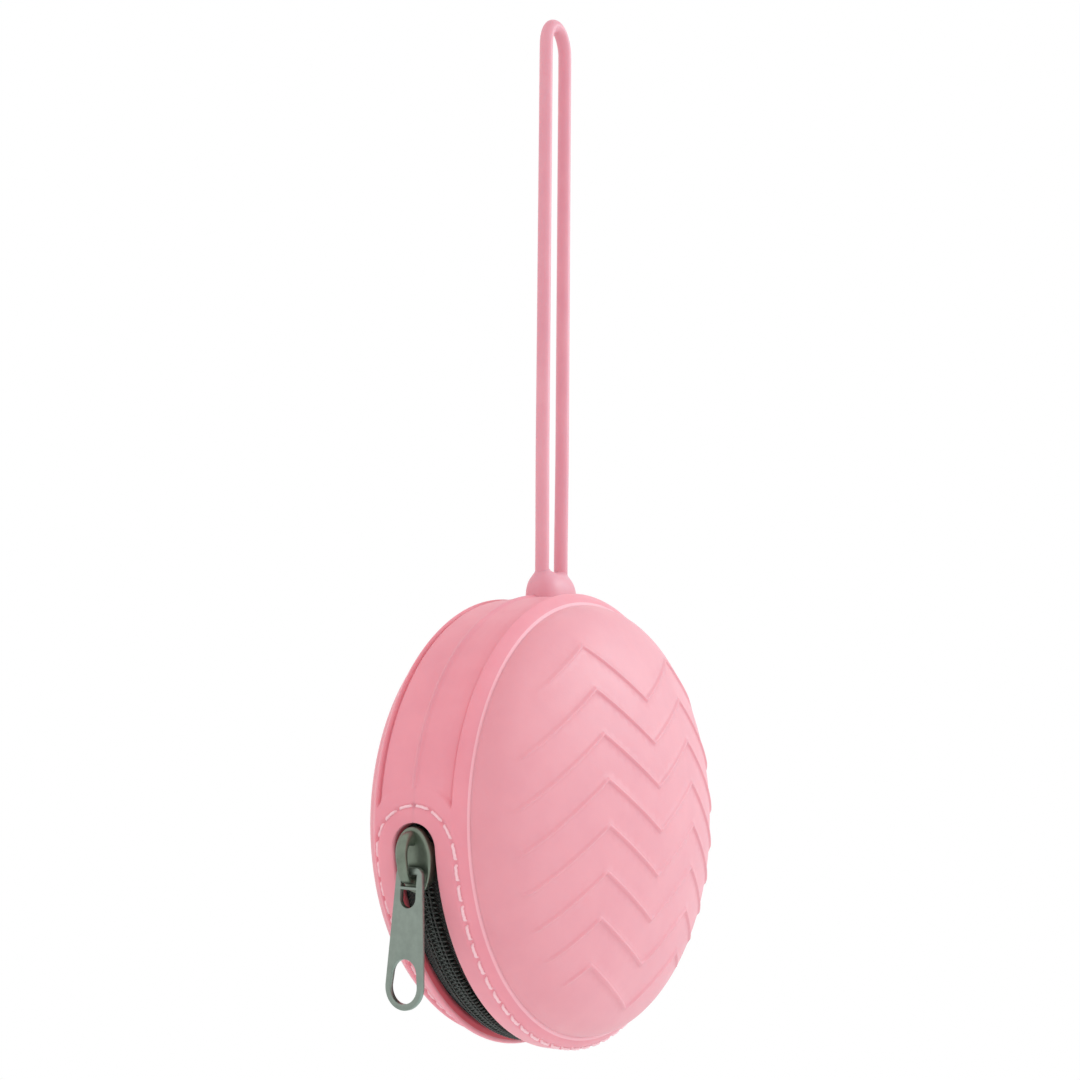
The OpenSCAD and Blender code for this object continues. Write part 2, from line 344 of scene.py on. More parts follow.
def ramp(material, value, low, high, low_at=0.3, high_at=0.7):
    """Turns a value into a blend between two colours."""
    node = add_node(material, "ShaderNodeValToRGB", {"Fac": value})
    for element, place, shade in zip(node.color_ramp.elements, (low_at, high_at), (low, high)):
        element.position = place
        element.color = shade
    return node.outputs["Color"]


def spread(material, value, low, high):
    """Stretches a 0 to 1 value between two numbers."""
    node = add_node(material, "ShaderNodeMapRange", {"Value": value, "To Min": low, "To Max": high})
    return node.outputs[0]


def bump(material, height, distance, under=None):
    """A bump of so many millimetres, laid over the one under it."""
    inputs = {"Height": height, "Distance": distance * MM, "Strength": 1.0}
    if under is not None:
        inputs["Normal"] = under
    return add_node(material, "ShaderNodeBump", inputs).outputs["Normal"]


def maths(material, operation, a, b=0.0):
    """A maths node's output. a and b are numbers or outputs."""
    node = add_node(material, "ShaderNodeMath", operation=operation)
    for socket, value in zip(node.inputs, (a, b)):
        if isinstance(value, bpy.types.NodeSocket):
            material.node_tree.links.new(value, socket)
        else:
            socket.default_value = value
    return node.outputs[0]


def silicone(name, light, dark, roughness=0.46):
    """Matte moulded silicone: soft cloudy colour, a fine skin and a faint dusty bloom."""
    material = new_material(
        name, light, roughness, Specular_IOR_Level=0.36, Subsurface_Weight=0.2,
        Subsurface_Scale=0.0012, Sheen_Weight=0.06, Sheen_Roughness=0.6, IOR=1.41,
    )
    material.node_tree.nodes["Principled BSDF"].inputs["Subsurface Radius"].default_value = (1, 0.35, 0.3)
    clouds = noise(material, 9.0, 4.0)
    link(material, ramp(material, clouds, dark, light), "Base Color")
    bloom = spread(material, noise(material, 2.5, 4.0), roughness - 0.05, roughness + 0.07)
    link(material, bloom, "Roughness")
    skin = bump(material, noise(material, 0.35, 2.0), 0.012)
    link(material, bump(material, noise(material, 1.6, 3.0), 0.02, skin), "Normal")
    return material


def thread_material():
    """Twisted polyester sewing thread."""
    material = new_material("stitch_thread", colour(250, 205, 211), 0.55, Sheen_Weight=0.2)
    fibres = noise(material, 0.12, 3.0, 0.7)
    link(material, ramp(material, fibres, colour(240, 182, 191), colour(253, 209, 215)), "Base Color")
    link(material, spread(material, noise(material, 0.4), 0.48, 0.66), "Roughness")
    link(material, bump(material, fibres, 0.03), "Normal")
    return material


def black_thread_material():
    """Black sewing thread, for the coils' stitches and the cords inside them."""
    material = new_material("black_thread", colour(38, 40, 38), 0.7, Sheen_Weight=0.2)
    fibres = noise(material, 0.2)
    link(material, ramp(material, fibres, colour(26, 27, 26), colour(66, 70, 66)), "Base Color")
    link(material, bump(material, noise(material, 0.12), 0.02), "Normal")
    return material


def tape_material():
    """Black herringbone zip tape, woven along the tape's own length and width."""
    material = new_material("zip_tape_weave", colour(34, 32, 31), 0.8, Sheen_Weight=0.3, Sheen_Roughness=0.5)
    place = add_node(material, "ShaderNodeUVMap", uv_map="weave").outputs["UV"]
    split = add_node(material, "ShaderNodeSeparateXYZ", {"Vector": place})
    length, width = split.outputs["X"], split.outputs["Y"]
    leaning = maths(material, "ADD", length, maths(material, "PINGPONG", width, 1.0))
    ribs = maths(material, "SINE", maths(material, "MULTIPLY", leaning, math.tau / 0.62))
    yarns = maths(material, "SINE", maths(material, "MULTIPLY", width, math.tau / 0.36))
    strong_ribs = maths(material, "MULTIPLY", ribs, 0.7)
    faint_yarns = maths(material, "MULTIPLY", yarns, 0.3)
    weave = maths(material, "ADD", strong_ribs, faint_yarns)
    height = maths(material, "ADD", maths(material, "MULTIPLY", weave, 0.5), 0.5)
    # The weave's height also colours it: darker in the low yarns, a painted shade in the hollows, and lighter
    # on the high ribs, a painted highlight.
    link(material, ramp(material, height, colour(13, 14, 14), colour(50, 54, 50)), "Base Color")
    fuzz = bump(material, noise(material, 0.15, 2.0), 0.02)
    link(material, bump(material, height, 0.09, fuzz), "Normal")
    link(material, spread(material, noise(material, 0.8), 0.7, 0.88), "Roughness")
    return material


def coil_material():
    """Slightly glossy black nylon monofilament."""
    material = new_material("zip_coil_nylon", colour(44, 48, 45), 0.38, Specular_IOR_Level=0.5)
    marks = noise(material, 0.5, 3.0)
    link(material, ramp(material, marks, colour(30, 33, 31), colour(64, 70, 64)), "Base Color")
    link(material, spread(material, marks, 0.28, 0.5), "Roughness")
    link(material, bump(material, noise(material, 0.2), 0.012), "Normal")
    return material


def gunmetal(name, light, dark, roughness=0.34):
    """Grey-green plated zinc with a fine cast grain and faint polishing marks."""
    material = new_material(name, light, roughness, Metallic=0.9, Specular_IOR_Level=0.5)
    link(material, ramp(material, noise(material, 1.8, 5.0, 0.65), dark, light), "Base Color")
    polish = spread(material, noise(material, 0.5, 4.0), roughness - 0.07, roughness + 0.1)
    link(material, polish, "Roughness")
    grain = bump(material, noise(material, 0.18, 3.0), 0.006)
    link(material, bump(material, noise(material, 1.4), 0.015, grain), "Normal")
    return material


SILICONE_DOME = silicone("silicone_dome", colour(232, 156, 166), colour(227, 150, 161))
# The rim's pink is deeper and redder than the dome's: painted shade for the rim, which turns away from the
# key light.
SILICONE_RIM_PAINTED_SHADE = silicone("silicone_rim_painted_shade", colour(236, 151, 163), colour(230, 144, 157))
# A lighter pink for the ledge at the dome's crease: a painted highlight along that edge.
SILICONE_EDGE_PAINTED_HIGHLIGHT = silicone("silicone_edge_painted_highlight", colour(245, 180, 190), colour(242, 175, 186))
# A deep, saturated red for the inside and the slot's walls: painted shade, the colour of the pink silicone in
# shadow.
SILICONE_INSIDE_PAINTED_SHADE = silicone("silicone_inside_painted_shade", colour(232, 100, 112), colour(224, 90, 104), 0.55)
STRAP_SILICONE = silicone("silicone_strap", colour(227, 156, 168), colour(221, 147, 161), 0.42)
THREAD = thread_material()
THREAD_BLACK = black_thread_material()
TAPE = tape_material()
COIL = coil_material()
SLIDER_METAL = gunmetal("slider_plating", colour(126, 136, 122), colour(110, 119, 106))
TAB_METAL = gunmetal("tab_plating", colour(142, 153, 144), colour(130, 140, 132))


# ---------------------------------------------------------------- camera and strap

def make_camera():
    """The photograph's viewpoint: low, from the zip's closed end, looking slightly up."""
    heading, pitch, roll = (math.radians(a) for a in (CAMERA_HEADING, CAMERA_PITCH, CAMERA_ROLL))
    data = bpy.data.cameras.new("camera")
    data.lens = 50
    data.sensor_width = 36
    data.clip_start = 0.01
    camera = add_object("camera", data)
    turn = Matrix.Rotation(heading, 4, "Z") @ Matrix.Rotation(math.pi / 2 + pitch, 4, "X")
    place = Matrix.Translation(CAMERA_PLACE)
    camera.matrix_world = place @ turn @ Matrix.Rotation(roll, 4, "Z")
    bpy.context.scene.camera = camera


def make_strap():
    """The soft strap: one round cord up from the collar, over and back, with faint mould lines."""
    path = smooth_path([Vector(p) for p in STRAP_ROUTE], 5)
    radius = STRAP_D / 2 * MM
    line = 0.05 * MM

    def section(i, a):
        r = radius - line + line * smooth_step(8 * abs(math.cos(a)) - 7)
        return r * math.cos(a), r * math.sin(a)

    points, faces = tube(path, section, 32)
    strap = new_piece("strap_loop_soft", points, faces, [STRAP_SILICONE])
    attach(strap, "purse")
    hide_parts("strap_loop")


make_camera()
make_strap()


# ---------------------------------------------------------------- the silicone body

GUSSET = [
    (0, BEAD_R - 0.1 + RIB_H), (0.2, BEAD_R - 0.14 + RIB_H), (0.55, 39.95), (0.9, 39.87), (3.2, 39.72),
    (5.2, 39.5), (6.4, 39.28), (6.95, 39.16), (7.15, 38.88), (7.35, 38.86), (7.5, 39.3), (7.66, 39.9),
    (BEAD_Y, 39.97),
]
REAR_GUSSET = GUSSET[:4] + [(3.2, 39.84), (6.4, 39.76), (6.9, 39.68), (7.15, 38.95)] + GUSSET[9:]


def bead_r(y):
    """The bead's sloping face, from the rim round to the ledge by the dome."""
    power = 1.25
    share = min(max((y - BEAD_Y) / (LEDGE_Y - BEAD_Y), 0.0), 1.0)
    return LEDGE_R + (BEAD_R - LEDGE_R) * (1 - share ** power) ** (1 / power)


def pad_share(y, z):
    """1 on the raised lip round the slot, 0 on the plain rim above it."""
    if z <= PAD_Z:
        return 1.0
    squareness = 2.25
    edge_w = 0.8
    distance = (abs(y) ** squareness + (z - PAD_Z) ** squareness) ** (1 / squareness)
    return smooth_step((PAD_R + edge_w / 2 - distance) / edge_w)


def tuck(y, z, side):
    """How far the rear lip rolls inwards beside the lower half of the zip. side is 1 for the rear."""
    if side < 0:
        return 0.0
    beside_dome = min(max((y - BEAD_Y) / (LEDGE_Y - BEAD_Y), 0.0), 1.0)
    return REAR_TUCK * smooth_step((y - 4.6) / 2.6) * smooth_step((-z - 8) / 18) * (1 - beside_dome)


def rim_r(y, z, side):
    """Radius of the rim's outside at a distance from the middle plane and a height, on one side of it."""
    if y >= BEAD_Y:
        return bead_r(y) - tuck(y, z, side)
    lip = mix(LIP_R, BEAD_R, y / BEAD_Y)
    gusset = along_points(GUSSET if side < 0 else REAR_GUSSET, y)
    return mix(gusset, lip, pad_share(y, z)) - tuck(y, z, side)


def thread_sink(y, z, side):
    """How deep a thread lies in its groove: the rear seam is drawn down further than the front one."""
    if side < 0:
        return 0.0
    return REAR_SINK * smooth_step((y - 5.4) / 1.6) * smooth_step((-z - 0.8) / 2)


ARC_S = STITCH_Y * math.pi / 2
ARC_END_ANGLE = math.asin(-STITCH_Z / BEAD_R)
END_S = STITCH_Y * math.acos((STITCH_END_Z - STITCH_Z) / STITCH_Y)
BOTTOM_S = ARC_S + BEAD_R * (math.pi / 2 - ARC_END_ANGLE)
SEAM_L = 2 * (BOTTOM_S - END_S)


def stitch_place(s):
    """(y, z) on the line of stitches, s along it from the top of the slot's round end."""
    if s <= ARC_S:
        return STITCH_Y * math.sin(s / STITCH_Y), STITCH_Z + STITCH_Y * math.cos(s / STITCH_Y)
    return STITCH_Y, -BEAD_R * math.sin(ARC_END_ANGLE + (s - ARC_S) / BEAD_R)


def stitch_groove(y, z, side):
    """Depth of the pressed line under the stitches, deeper where the needle went in."""
    if z > STITCH_Z:
        s = STITCH_Y * math.atan2(y, z - STITCH_Z)
        off_line = math.hypot(y, z - STITCH_Z) - STITCH_Y
    else:
        s = ARC_S + BEAD_R * (math.asin(min(-z / BEAD_R, 1)) - ARC_END_ANGLE)
        off_line = y - STITCH_Y
    if abs(off_line) > 1.2:
        return 0.0
    if s < END_S:
        step = 2 * END_S / END_STITCHES
    else:
        step = SEAM_L / SEAM_STITCHES
        s -= END_S
    to_hole = (s + step / 2) % step - step / 2
    line_depth, line_w = 0.18, 0.36
    hole_depth, hole_w, hole_l = 0.28, 0.4, 0.45
    line = (line_depth + thread_sink(y, z, side)) * math.exp(-(off_line / line_w) ** 2)
    hole = hole_depth * math.exp(-(off_line / hole_w) ** 2 - (to_hole / hole_l) ** 2)
    return line + hole


def slot_edge_y(z):
    """Distance of the slot's edge from the middle plane at a height."""
    if z <= SLOT_Z:
        return SLOT_R
    return math.sqrt(max(SLOT_R ** 2 - (z - SLOT_Z) ** 2, 0.0))


def rim_angles():
    """Angles round the rim, closest together round the slot's ends."""
    half = []
    slot_angle = math.asin(SLOT_Z / BEAD_R)
    straight_steps, round_steps, pad_steps, plain_steps = 165, 16, 28, 66
    half += [mix(-math.pi / 2, slot_angle, k / straight_steps) for k in range(straight_steps)]
    for k in range(round_steps):
        height = SLOT_Z + SLOT_R * math.sin(math.pi / 2 * k / round_steps)
        half.append(math.asin(height / BEAD_R))
    slot_top = math.asin((SLOT_Z + SLOT_R) / BEAD_R)
    pad_top = math.asin((PAD_Z + PAD_R + 1) / BEAD_R)
    half += [mix(slot_top, pad_top, k / pad_steps) for k in range(pad_steps)]
    half += [mix(pad_top, math.pi / 2, k / plain_steps) for k in range(plain_steps + 1)]
    return half + [math.pi - a for a in reversed(half[1:-1])]


def dome_y(r, radius, height):
    """Distance from the middle plane to a dome at a radius, with a gently rounded crown."""
    share = (r * r + CROWN_R ** 2) / (radius * radius + CROWN_R ** 2)
    return CREASE_Y + height * math.sqrt(max(1 - share ** DOME_POWER, 0.0))


RIM_ROWS = [
    0.12, 0.25, 0.4, 0.6, 0.85, 1.2, 1.6, 2.0, 2.4, 2.8, 3.2, 3.6, 4.0, 4.4, 4.8, 5.2, 5.6, 5.9, 6.2,
    6.45, 6.7, 6.9, 7.05, 7.2, 7.35, 7.5, 7.65, 7.78, 7.89, 8.0, 8.11, 8.22, 8.36, 8.55, 8.8, 9.05,
    9.3, 9.46, 9.55,
]
DOME_RINGS = [37.66, 37.5, 37.2, 36.8, 36.4, 35.9, 35.45, DISC_R]
INNER_DOME_RINGS = [35.5, 34.9, 34.0]
SQUEEZED_BELOW = 5.6
# The rows of faces next to the crease take a lighter pink, a painted highlight; the rim's and the inside's
# pinks carry painted shade.
HIGHLIGHT_ROWS = 5
HALF_MATERIALS = [SILICONE_DOME, SILICONE_INSIDE_PAINTED_SHADE, SILICONE_RIM_PAINTED_SHADE, SILICONE_EDGE_PAINTED_HIGHLIGHT]
DOME_SLOT, INSIDE_SLOT, RIM_SLOT, HIGHLIGHT_SLOT = range(4)


def outer_rows(z, side, height):
    """(radius, y) points over the outside, from the slot's edge to the disc of a dome's height."""
    edge_y = slot_edge_y(z)
    edge = mix(0.02, SLOT_EDGE, edge_y / SLOT_R)
    rows = []
    for k in range(5):
        lean = math.pi / 2 * k / 4
        y = edge_y + edge * (1 - math.cos(lean))
        rows.append((rim_r(y, z, side) - edge * (1 - math.sin(lean)), y))
    for y in RIM_ROWS:
        if y < SQUEEZED_BELOW:
            y = mix(edge_y + edge, SQUEEZED_BELOW, y / SQUEEZED_BELOW)
        rows.append((rim_r(y, z, side) - stitch_groove(y, z, side), y))
    rows += [(LEDGE_R, LEDGE_Y), (LEDGE_R - 0.1, LEDGE_Y + 0.08), (LEDGE_R - 0.22, CREASE_Y)]
    rows += [(CREASE_R + 0.08, CREASE_Y + 0.01), (CREASE_R + 0.02, CREASE_Y)]
    rows += [(r, dome_y(r, CREASE_R, height)) for r in DOME_RINGS]
    return rows


def inner_rows(z, height):
    """(radius, y) points over the inside, from the inner dome's disc to the slot's edge."""
    edge_y = slot_edge_y(z)
    rows = [(r, dome_y(r, CREASE_R - WALL, height - WALL)) for r in reversed(INNER_DOME_RINGS)]
    rows += [(CREASE_R - WALL, CREASE_Y), (mix(CREASE_R - WALL, LIP_IN_R, 0.5), mix(CREASE_Y, LIP_IN_Y, 0.5))]
    rows += [(LIP_IN_R, mix(LIP_IN_Y, edge_y, share)) for share in (0, 0.4, 0.8, 1)]
    outside = rim_r(edge_y, z, -1)
    rows += [(mix(LIP_IN_R, outside, share), edge_y) for share in (0.35, 0.7)]
    return rows


def zigzag_z(x):
    """Height of a zigzag line above or below its own apexes."""
    past = abs(x) - ZIGZAG_APEX_X
    return -ZIGZAG_OUT_SLOPE * past if past > 0 else ZIGZAG_IN_SLOPE * past


def zigzag_lines():
    """Constraint lines for the dome: along each raised line's crest and flanks."""
    lean = math.hypot(1, (ZIGZAG_IN_SLOPE + ZIGZAG_OUT_SLOPE) / 2)
    clip_r = ZIGZAG_END_R + 0.7
    steps = 14
    reach = 2.3
    xs = [side * ZIGZAG_APEX_X * k / steps for side in (-1, 1) for k in range(int(reach * steps) + 1)]
    xs = sorted(set(xs))
    lines = []
    for row in range(ZIGZAG_ROWS):
        for offset in (-1, -0.68, -0.35, 0, 0.35, 0.68, 1):
            height = ZIGZAG_H * 0.5 * (1 + math.cos(math.pi * offset))
            top = ZIGZAG_TOP - row * ZIGZAG_STEP + offset * ZIGZAG_HALF_W * lean
            line = []
            for x in xs:
                z = top + zigzag_z(x)
                r = math.hypot(x, z)
                if r < clip_r:
                    line.append((x, z, height * smooth_step((ZIGZAG_END_R - r) / 1.3 + 0.5)))
                elif line:
                    lines.append(line)
                    line = []
            if line:
                lines.append(line)
    return [line for line in lines if len(line) > 1]


def off_zigzag(x, z):
    """Vertical distance to the nearest zigzag line."""
    rows = (ZIGZAG_TOP + zigzag_z(x) - z) / ZIGZAG_STEP
    nearest = min(max(round(rows), 0), ZIGZAG_ROWS - 1)
    return abs(rows - nearest) * ZIGZAG_STEP


def hex_points(radius, spacing):
    """(x, z) points spread evenly over a disc."""
    points = []
    row_step = spacing * math.sqrt(3) / 2
    rows = int(radius / row_step)
    for j in range(-rows, rows + 1):
        for i in range(-int(radius / spacing), int(radius / spacing) + 1):
            x = (i + 0.5 * (j % 2)) * spacing
            if math.hypot(x, j * row_step) < radius:
                points.append((x, j * row_step))
    return points


def dome_points():
    """(x, z) points over a dome's disc, clear of its raised lines."""
    clear = 1.15
    past_ends = ZIGZAG_END_R + 0.9
    return [
        (x, z) for x, z in hex_points(DISC_R - 0.5, 1.25)
        if off_zigzag(x, z) > clear or math.hypot(x, z) > past_ends
    ]


def fill_disc(ring, lines, loose, surface):
    """Triangles inside a ring of (x, z) points.

    lines are constraint lines of (x, z, rise) and loose are more (x, z) points. surface(x, z, rise)
    makes a point. Returns the new points, and triangles of ("ring" or "new", index) corners.
    """
    flat = [Vector(p) for p in ring]
    rises = [0.0] * len(ring)
    edges = [(i, (i + 1) % len(ring)) for i in range(len(ring))]
    for line in lines:
        start = len(flat)
        flat += [Vector((x, z)) for x, z, rise in line]
        rises += [rise for x, z, rise in line]
        edges += [(start + i, start + i + 1) for i in range(len(line) - 1)]
    flat += [Vector(p) for p in loose]
    rises += [0.0] * len(loose)
    found, _, triangles, origins, _, _ = delaunay_2d_cdt(flat, edges, [], 0, 1e-5, True)
    corners, made = [], []
    for place, origin in zip(found, origins):
        first = min(origin) if origin else -1
        if 0 <= first < len(ring):
            corners.append(("ring", first))
        else:
            corners.append(("new", len(made)))
            made.append(surface(place.x, place.y, rises[first] if first >= 0 else 0.0))
    return made, [tuple(corners[i] for i in triangle) for triangle in triangles]


def row_slot(row, inner_count, dome_row):
    """The material slot of a row of faces, counted from the middle of the inside. The inside and the rim take
    pinks with painted shade in them, and the rows by the crease a lighter pink as a painted highlight.
    """
    if row < inner_count - 1:
        return INSIDE_SLOT
    if row < dome_row - HIGHLIGHT_ROWS:
        return RIM_SLOT
    if row < dome_row:
        return HIGHLIGHT_SLOT
    return DOME_SLOT


def make_half(name, side, height):
    """One half of the silicone: side is -1 for the front and 1 for the rear, height is its dome's."""
    angles = rim_angles()
    sections = []
    for angle in angles:
        z = BEAD_R * math.sin(angle)
        sections.append((inner_rows(z, height), outer_rows(z, side, height)))
    inner_count = len(sections[0][0])
    row_count = inner_count + len(sections[0][1])
    columns = len(angles)
    points = []
    for row in range(row_count):
        for angle, (inner, outer) in zip(angles, sections):
            radius, y = (inner + outer)[row]
            points.append(rim_point(radius, angle, side * y))
    faces = ring_faces(row_count, columns)
    dome_row = row_count - len(DOME_RINGS) - 1
    slots = []
    for row in range(row_count - 1):
        slots += [row_slot(row, inner_count, dome_row)] * columns

    def close(ring_row, lines, loose, depth, slot):
        """Fills a row's ring with a disc that follows depth(radius)."""
        ring_r = (sections[0][0] + sections[0][1])[ring_row][0]
        ring = [(ring_r * math.cos(a), ring_r * math.sin(a)) for a in angles]
        made, triangles = fill_disc(
            ring, lines, loose,
            lambda x, z, rise: frame_point(x, side * (depth(math.hypot(x, z)) + rise), z),
        )
        start = {"ring": ring_row * columns, "new": len(points)}
        points.extend(made)
        faces.extend(tuple(start[kind] + i for kind, i in t) for t in triangles)
        slots.extend([slot] * len(triangles))

    close(row_count - 1, zigzag_lines(), dome_points(),
          lambda r: dome_y(r, CREASE_R, height), DOME_SLOT)
    close(0, [], hex_points(INNER_DOME_RINGS[-1] - 1, 2.5),
          lambda r: dome_y(r, CREASE_R - WALL, height - WALL), INSIDE_SLOT)
    half = new_piece(name, points, faces, HALF_MATERIALS, slots)
    bend(half)
    return half


def bend(piece):
    """Bakes a piece of one half of the mouth into the shared frame, without bending it."""
    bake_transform(piece)


HALVES = (("front", -1), ("rear", 1))
for (half_name, half_side), half_height in zip(HALVES, (DOME_H, REAR_DOME_H)):
    silicone_half = make_half(half_name + "_silicone", half_side, half_height)
    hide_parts(half_name + "_shell", half_name + "_flap", half_name + "_bend_band")


# ---------------------------------------------------------------- stitches

def thread_tube(places, step):
    """A twisted thread along (y, z, x side, s) places, dipping into the silicone at each stitch."""
    path = []
    in_hole, on_top = -0.85, -0.08
    for y, z, x_side, s in places:
        phase = abs((s / step + 0.5) % 1 - 0.5) * step
        rise = mix(in_hole, on_top, smooth_step((phase - 0.3) / 0.42))
        side = math.copysign(1, y)
        r = rim_r(abs(y), z, side) + rise - thread_sink(abs(y), z, side)
        angle = math.asin(max(z / BEAD_R, -1))
        path.append(frame_point(x_side * r * math.cos(angle), y, r * math.sin(angle)))
    strands = 3
    lay = 1.1

    def section(i, a):
        r = THREAD_R * MM * (0.92 + 0.1 * math.cos(strands * a - math.tau * places[i][3] / lay))
        return r * math.cos(a), r * math.sin(a)

    return tube(path, section, 10)


def end_thread(name, x_side):
    """The row of stitches over one round end of the slot."""
    step = 2 * END_S / END_STITCHES
    count = 150
    places = []
    for k in range(count + 1):
        s = mix(-END_S, END_S, k / count)
        y, z = stitch_place(abs(s))
        places.append((math.copysign(y, s), z, x_side, s))
    piece = new_piece(name + "_stitches", *thread_tube(places, step), [THREAD])
    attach(piece, "purse")
    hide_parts(name)


def seam_thread(name, side):
    """The row of stitches along one lip, from one round end under the purse to the other."""
    step = SEAM_L / SEAM_STITCHES
    count = 820
    places = []
    for k in range(count + 1):
        s = SEAM_L * k / count
        first_half = s <= SEAM_L / 2
        y, z = stitch_place(END_S + (s if first_half else SEAM_L - s))
        places.append((side * y, z, -1 if first_half else 1, s))
    piece = new_piece(name + "_stitches", *thread_tube(places, step), [THREAD])
    bend(piece)
    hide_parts(name)


end_thread("left_end_thread", -1)
end_thread("right_end_thread", 1)
for half_name, half_side in HALVES:
    seam_thread(half_name + "_seam_thread", half_side)


# ---------------------------------------------------------------- the zip

def zip_angles(top_z, radius, count):
    """Angles from the -X end of the zip, round the bottom, to its +X end."""
    start = math.asin(top_z / radius)
    return [mix(math.pi - start, math.tau + start, k / count) for k in range(count + 1)]


def make_tape(name, side):
    """Woven tape, a little thinner at both of its edges."""
    angles = zip_angles(TAPE_TOP_Z, TAPE_OUT_R, 300)
    columns = 15
    y_at_slider, y_at_coil = 1.15, 0.12
    section = []
    for k in range(columns):
        share = k / (columns - 1)
        thick = (TAPE_OUT_R - TAPE_IN_R) * (0.8 if 0.05 < share < 0.95 else 0.55)
        section.append((share, thick))
    outline = [(s, TAPE_IN_R + t) for s, t in section] + [(s, TAPE_IN_R + 0.02) for s, t in reversed(section)]
    points, places = [], []
    for angle in angles:
        height = TAPE_OUT_R * math.sin(angle)
        near_y = mix(y_at_coil, y_at_slider, smooth_step((height + 5.5) / 2))
        for share, radius in outline:
            y = mix(near_y, TAPE_FAR_Y, share)
            points.append(rim_point(radius, angle, side * y))
            places.append((angle * TAPE_OUT_R, y))
    sides = len(outline)
    faces = ring_faces(len(angles), sides) + end_caps(len(angles), sides)
    tape = new_piece(name + "_woven", points, faces, [TAPE])
    layer = tape.data.uv_layers.new(name="weave")
    for loop in tape.data.loops:
        layer.data[loop.index].uv = places[loop.vertex_index]
    bend(tape)
    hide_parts(name)


def coil_path(side):
    """One long monofilament, wound into flat loops that reach between the other side's loops."""
    per_turn = 14
    length = (math.pi + 2 * math.asin(COIL_TOP_Z / COIL_R)) * COIL_R
    turns = int(length / COIL_PITCH)
    start = math.pi - math.asin(COIL_TOP_Z / COIL_R)
    shift = COIL_PITCH / 2 if side > 0 else 0.0
    path = []
    for k in range(turns * per_turn + 1):
        turn = math.tau * k / per_turn
        angle = start + (k / per_turn * COIL_PITCH + shift) / COIL_R
        over = math.sin(turn)
        radius = COIL_R + COIL_HALF_H * signed_power(over, 0.8)
        y = COIL_Y - COIL_HALF_W * math.cos(turn)
        path.append(rim_point(radius, angle, side * y))
    return path


def make_coil(name, side):
    """One side's coil, as a round wire along its path."""
    coil = new_piece(name + "_wound", *round_tube(coil_path(side), COIL_WIRE_R * MM, 7), [COIL])
    bend(coil)
    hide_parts(name)


def make_coil_cord(name, side):
    """The cord that runs through the coil's loops, with its own twist."""
    angles = zip_angles(COIL_TOP_Z, COIL_R, 420)
    path = [rim_point(COIL_R, a, side * (COIL_Y + 0.1)) for a in angles]

    def section(i, a):
        r = MM * (0.23 + 0.02 * math.cos(2 * a - i * 1.1))
        return r * math.cos(a), r * math.sin(a)

    cord = new_piece(name + "_twisted", *tube(path, section, 8), [THREAD_BLACK])
    bend(cord)
    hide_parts(name)


def make_coil_stitches(name, side):
    """The two rows of black stitches that hold a coil down on its tape."""
    rows = []
    for offset in (0.55, 1.25):
        angles = zip_angles(COIL_TOP_Z - 0.3, COIL_R, 700)
        path = []
        for a in angles:
            phase = a * COIL_R / COIL_PITCH
            lift = COIL_R + COIL_HALF_H + COIL_WIRE_R + 0.02 + 0.05 * math.cos(math.tau * phase)
            path.append(rim_point(lift, a, side * (COIL_Y + offset - 0.6)))
        rows.append(round_tube(path, 0.09 * MM, 6))
    piece = new_piece(name, *merge(rows), [THREAD_BLACK])
    bend(piece)


for half_name, half_side in HALVES:
    make_tape(half_name + "_zip_tape", half_side)
    make_coil(half_name + "_zip_coil", half_side)
    make_coil_cord(half_name + "_coil_cord", half_side)
    make_coil_stitches(half_name + "_coil_stitches", half_side)


# ---------------------------------------------------------------- slider and pull tab

def slider_point(radius, y, z):
    """A point on the slider as drawn upright at the -X side of the rim, turned to its closed place."""
    flat = Matrix.Rotation(-SLIDER_ANGLE, 3, "Y") @ Vector((-radius, y, z))
    return frame_point(flat.x, flat.y, flat.z)


def curved_point(radius, y, z):
    """A slider point whose height follows the rim's curve."""
    return slider_point(radius * math.cos(z / BEAD_R), y, radius * math.sin(z / BEAD_R))


def egg(angle, grow=0.0):
    """Outline of the slider's plates: round shoulders above, a narrower square-cut tail below."""
    squareness = 2.5 if math.sin(angle) < 0 else 2.0
    c, s = math.cos(angle), math.sin(angle)
    reach = (abs(c) ** squareness + abs(s) ** squareness) ** (-1 / squareness)
    z = s * reach * SLIDER_L / 2
    narrow = smooth_step((1.6 - z) / (SLIDER_L / 2 + 1.6))
    half_w = mix(SLIDER_W, SLIDER_TAIL_W, narrow) / 2
    return c * reach * (half_w + grow), s * reach * (SLIDER_L / 2 + grow)


